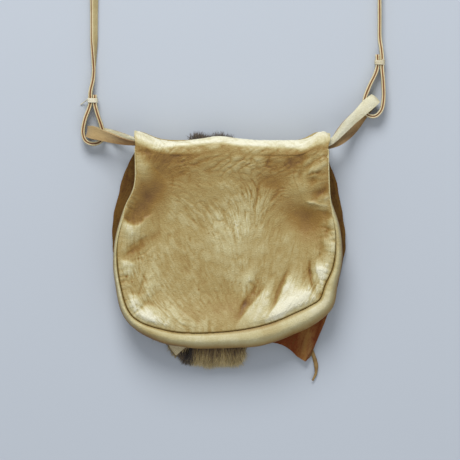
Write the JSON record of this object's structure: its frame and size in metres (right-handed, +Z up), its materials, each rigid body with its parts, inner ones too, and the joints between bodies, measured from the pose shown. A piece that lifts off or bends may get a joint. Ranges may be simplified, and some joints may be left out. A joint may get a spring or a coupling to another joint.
{
  "type": "fur shoulder pouch",
  "caption": "Soft leather shoulder pouch with a puffed gusset, rolled top, swinging fur flap and a thin leather strap bound on with thread, lying face down.",
  "frame": {"origin": "on the surface that the pouch lies on, under the middle of the pouch's body", "axes": "+Z up out of the pouch's back, +Y towards the strap end, +X to the right as seen from above"},
  "size_m": [0.2268, 0.4643, 0.0324],
  "materials": {
    "gold_leather": "soft pale gold leather with a dull metallic face and fine creases",
    "tab_leather": "pale gold leather, worn at the folds",
    "flap_hide": "rust brown flesh side of the hide, matt, with a gold face outside",
    "fur": "long hair, grey brown at the top and cream at the bottom",
    "thong_leather": "smooth olive brown leather",
    "strap_leather": "pale gold leather folded double, with a rust brown raw edge",
    "thread": "waxed cream thread"
  },
  "bodies": {
    "pouch": {"back_panel": "gold_leather", "front_panel": "gold_leather", "gusset": "gold_leather", "left_tab": "tab_leather", "right_tab": "tab_leather", "strap_left": "strap_leather", "strap_right": "strap_leather", "strap_coil": "strap_leather", "left_strap_thread": "thread", "right_strap_thread": "thread"},
    "flap": {"flap_leather": "flap_hide", "flap_pelt": "fur", "flap_thong": "thong_leather"}
  },
  "joints": [
    {"name": "flap_hinge", "type": "hinge", "parent": "pouch", "child": "flap", "pos_m": [0, 0.0763, 0.005], "axis": [1, 0, 0], "range_deg": [0, 180]}
  ]
}
